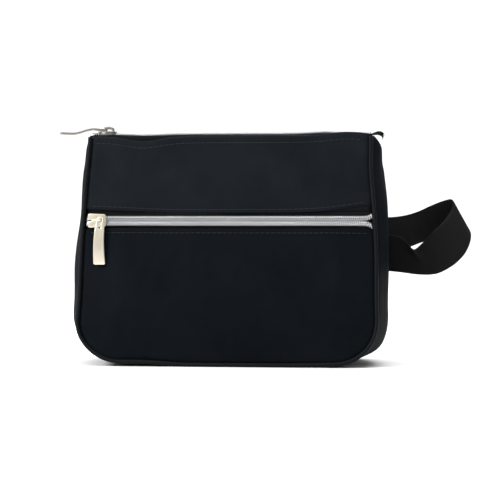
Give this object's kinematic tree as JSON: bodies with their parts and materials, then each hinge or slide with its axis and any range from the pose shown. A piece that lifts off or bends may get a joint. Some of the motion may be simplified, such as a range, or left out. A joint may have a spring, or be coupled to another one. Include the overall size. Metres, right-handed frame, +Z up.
{
  "type": "shaving kit bag",
  "caption": "Zip-top wash bag with a zipped front pocket, corded piping, metal zip pullers and a webbing wrist loop at one side.",
  "frame": {"origin": "middle of the flat base, on the surface that the bag stands on", "axes": "+Z up, -Y towards the pocket side, +X towards the side with the wrist strap"},
  "size_m": [0.2847, 0.074, 0.1677],
  "materials": {
    "shell": "matt black coated microfibre weave",
    "piping": "matt black bias-cut cover",
    "cord": "soft white cord",
    "lining": "plain dark lining cloth",
    "zip_tape": "black herringbone zip tape",
    "silver_coil": "silver-plated nylon coil with sewn centre",
    "nickel": "satin champagne nickel",
    "webbing": "black ribbed webbing"
  },
  "bodies": {
    "bag": {"front_upper_panel": "shell", "front_pocket_panel": "shell", "back_panel": "shell", "left_gusset": "shell", "bottom_gusset": "shell", "right_gusset": "shell", "pocket_backing": "lining", "back_lining": "lining", "gusset_lining": "lining", "front_piping": "piping", "back_piping": "piping", "front_piping_cord": "cord", "back_piping_cord": "cord", "front_hem": "shell", "back_hem": "shell", "mouth_front_sewn_tape": "zip_tape", "mouth_back_sewn_tape": "zip_tape", "mouth_left_end_tape": "zip_tape", "mouth_right_end_tape": "zip_tape", "mouth_left_end_coil": "silver_coil", "mouth_right_end_coil": "silver_coil", "mouth_tape_tail": "zip_tape", "pocket_lower_tape": "zip_tape", "pocket_lower_coil": "silver_coil", "pocket_sewn_tape": "zip_tape", "pocket_left_end_tape": "zip_tape", "pocket_right_end_tape": "zip_tape", "pocket_left_end_coil": "silver_coil", "pocket_right_end_coil": "silver_coil", "strap_anchor": "webbing"},
    "mouth_front_flap": {"mouth_front_tape": "zip_tape", "mouth_front_coil": "silver_coil"},
    "mouth_back_flap": {"mouth_back_tape": "zip_tape", "mouth_back_coil": "silver_coil"},
    "pocket_flap": {"pocket_upper_tape": "zip_tape", "pocket_upper_coil": "silver_coil"},
    "mouth_slider": {"mouth_slider": "nickel"},
    "mouth_puller": {"mouth_puller": "nickel"},
    "pocket_slider": {"pocket_slider": "nickel"},
    "pocket_puller": {"pocket_puller": "nickel"},
    "wrist_strap": {"wrist_strap": "webbing"}
  },
  "joints": [
    {"name": "mouth_slide", "type": "slide", "parent": "bag", "child": "mouth_slider", "axis": [1, 0, 0], "range_m": [0, 0.1758]},
    {"name": "mouth_puller_flip", "type": "hinge", "parent": "mouth_slider", "child": "mouth_puller", "pos_m": [-0.0879, 0, 0.1641], "axis": [0, 1, 0], "range_deg": [0, 180]},
    {"name": "pocket_slide", "type": "slide", "parent": "bag", "child": "pocket_slider", "axis": [1, 0, 0], "range_m": [0, 0.1791]},
    {"name": "pocket_puller_swing", "type": "hinge", "parent": "pocket_slider", "child": "pocket_puller", "pos_m": [-0.08875, -0.02495, 0.10023], "axis": [0, -0.9901, 0.1401], "range_deg": [-35, 90]},
    {"name": "mouth_front_open", "type": "hinge", "parent": "bag", "child": "mouth_front_flap", "pos_m": [0, -0.01098, 0.1595], "axis": [1, 0, 0], "range_deg": [0, 95], "stiffness_Nm_per_rad": 0.0005},
    {"name": "mouth_back_open", "type": "hinge", "parent": "bag", "child": "mouth_back_flap", "pos_m": [0, 0.01098, 0.1595], "axis": [-1, 0, 0], "range_deg": [0, 95], "stiffness_Nm_per_rad": 0.0005},
    {"name": "pocket_open", "type": "hinge", "parent": "bag", "child": "pocket_flap", "pos_m": [0, -0.01948, 0.10603], "axis": [-1, 0, 0], "range_deg": [0, 90], "stiffness_Nm_per_rad": 0.0005},
    {"name": "strap_swing", "type": "hinge", "parent": "bag", "child": "wrist_strap", "pos_m": [0.10504, 0.0244, 0.082], "axis": [0, 0, 1], "range_deg": [-65, 80]}
  ]
}
